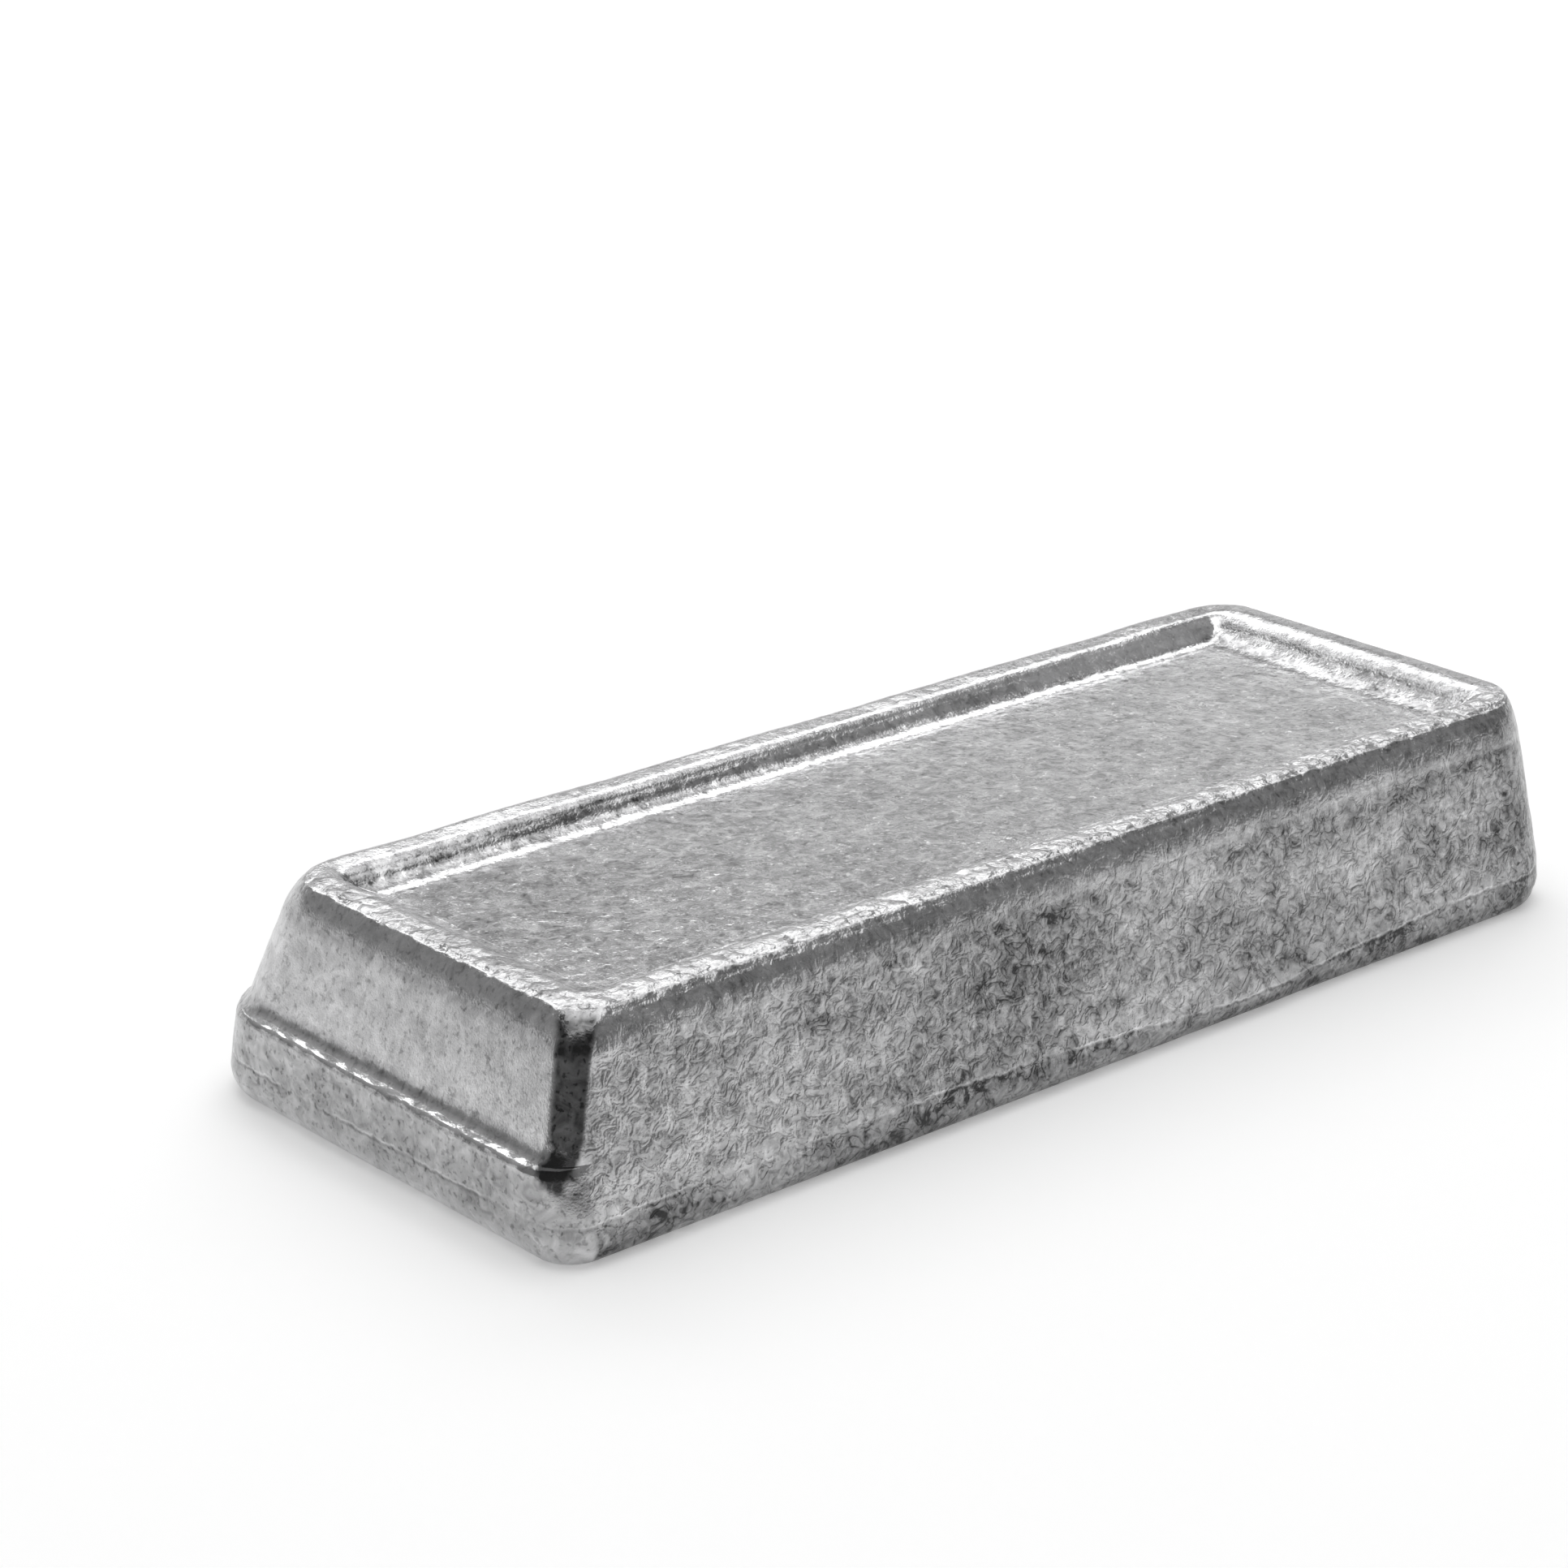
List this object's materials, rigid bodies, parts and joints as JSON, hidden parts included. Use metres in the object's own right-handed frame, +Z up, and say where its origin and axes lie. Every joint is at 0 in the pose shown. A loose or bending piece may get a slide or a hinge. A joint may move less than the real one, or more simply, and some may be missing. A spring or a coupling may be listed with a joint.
{
  "type": "metal ingot",
  "caption": "Cast metal ingot bar with drafted sides, a soft raised rim round a shallow blank recess, and a step across the foot of one end.",
  "frame": {"origin": "middle of the footprint box on the floor, under the pouring face", "axes": "+X along the bar from the lug end to the plain end, +Y across the bar, +Z up from the pouring face to the rim"},
  "size_m": [0.252, 0.106, 0.04],
  "materials": {
    "cast_metal": "as-cast silver grey: soft satin, mottled and fine orange-peel texture on the long sides, smoother streaked recess, bright pitted rim crest"
  },
  "bodies": {
    "root": {"ingot": "cast_metal"}
  },
  "joints": []
}
